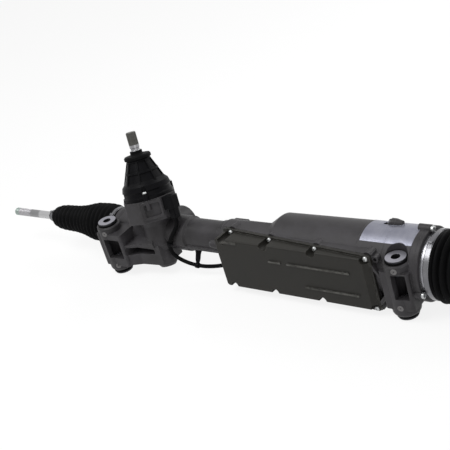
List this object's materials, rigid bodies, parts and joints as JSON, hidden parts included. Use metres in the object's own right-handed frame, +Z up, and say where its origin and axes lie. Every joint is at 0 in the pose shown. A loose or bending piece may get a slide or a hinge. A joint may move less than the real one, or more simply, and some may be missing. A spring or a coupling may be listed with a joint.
{
  "type": "steering rack",
  "caption": "Electric power steering rack: hollow-shaft motor around the rack, pinion tower, electronics box, bellows, tie rods and bolt columns.",
  "frame": {"origin": "midway between the two mounting bolts, on the plane the lower bushes seat on", "axes": "+X along the rack towards the motor end, +Z up along the mounting bolts, +Y to the back, away from the electronics lid"},
  "size_m": [1.133, 0.1198, 0.2304],
  "materials": {
    "cast_aluminium": "matt die casting, darkened",
    "bare_aluminium": "machined",
    "black_plastic": "fine grain",
    "black_rubber": "smooth moulded",
    "bright_steel": "ground",
    "zinc_steel": "zinc plated",
    "dark_steel": "phosphated",
    "copper_wire": "enamelled winding",
    "magnet": "nickel plated",
    "circuit_board": "lacquered"
  },
  "bodies": {
    "housing": {"big_clamps": "zinc_steel", "board_parts": "black_plastic", "ecu_board": "circuit_board", "ecu_lid": "cast_aluminium", "end_cover": "cast_aluminium", "end_cover_bolts": "zinc_steel", "end_housing": "cast_aluminium", "housing_screws": "zinc_steel", "input_seal": "black_rubber", "lead_clips": "black_plastic", "left_bellows": "black_rubber", "lid_gasket": "black_rubber", "lid_screws": "zinc_steel", "main_bearing_balls": "bright_steel", "main_bearing_outer": "bright_steel", "motor_housing": "cast_aluminium", "mount_bushes": "dark_steel", "mount_rubbers": "black_rubber", "needle_bearing": "bright_steel", "pinion_cap": "bare_aluminium", "pinion_housing": "cast_aluminium", "power_socket": "black_plastic", "rack_bush": "black_plastic", "rear_bearing": "bright_steel", "right_bellows": "black_rubber", "rotor_sensor": "black_plastic", "sensor_lead": "black_rubber", "sensor_plugs": "black_plastic", "sensor_socket": "black_plastic", "signal_socket": "black_plastic", "spigot_seal": "black_rubber", "stator_core": "dark_steel", "stator_windings": "copper_wire", "torque_sensor": "black_plastic", "tower_cover": "black_plastic", "tower_cover_screws": "zinc_steel", "upper_bearing_balls": "bright_steel", "upper_bearing_outer": "bright_steel", "yoke": "bare_aluminium", "yoke_liner": "black_plastic", "yoke_plug": "bare_aluminium", "yoke_spring": "bright_steel"},
    "rack": {"rack_bar": "bright_steel", "left_ball_socket": "bright_steel", "right_ball_socket": "bright_steel", "ball_seats": "black_plastic"},
    "rotor": {"rotor": "bright_steel", "rotor_magnets": "magnet", "ball_nut": "bright_steel", "nut_retainer": "bright_steel", "main_bearing_inner": "bright_steel"},
    "pinion": {"pinion": "bright_steel", "torsion_bar": "bright_steel", "upper_bearing_inner": "bright_steel"},
    "input": {"input_shaft": "bright_steel", "sensor_magnet": "magnet"},
    "left_rod": {"left_tie_rod": "zinc_steel", "left_small_clamp": "zinc_steel"},
    "right_rod": {"right_tie_rod": "zinc_steel", "right_small_clamp": "zinc_steel"}
  },
  "joints": [
    {"name": "rotor_turn", "type": "hinge", "parent": "housing", "child": "rotor", "pos_m": [0, 0.041, 0.0605], "axis": [1, 0, 0], "range_deg": [-3600, 3600]},
    {"name": "rack_slide", "type": "slide", "parent": "housing", "child": "rack", "axis": [1, 0, 0], "range_m": [-0.07, 0.07], "deforming": ["left_bellows", "right_bellows"]},
    {"name": "pinion_turn", "type": "hinge", "parent": "housing", "child": "pinion", "pos_m": [-0.185, 0.02443, 0.0643], "axis": [-0.1702, 0.22, 0.9605], "range_deg": [-495, 495]},
    {"name": "input_twist", "type": "hinge", "parent": "pinion", "child": "input", "pos_m": [-0.185, 0.02443, 0.0643], "axis": [-0.1702, 0.22, 0.9605], "range_deg": [-4.5, 4.5], "stiffness_Nm_per_rad": 120},
    {"name": "left_tie_rod_swing", "type": "hinge", "parent": "rack", "child": "left_rod", "pos_m": [-0.3665, 0.041, 0.0605], "axis": [0, 1, 0], "range_deg": [-15, 15]},
    {"name": "right_tie_rod_swing", "type": "hinge", "parent": "rack", "child": "right_rod", "pos_m": [0.3955, 0.041, 0.0605], "axis": [0, 1, 0], "range_deg": [-15, 15]}
  ],
  "couplings": [
    {"joint": "rack_slide", "follows": "rotor_turn", "m_per_rad": 0.0011141},
    {"joint": "pinion_turn", "follows": "rotor_turn", "ratio": -0.13723}
  ]
}
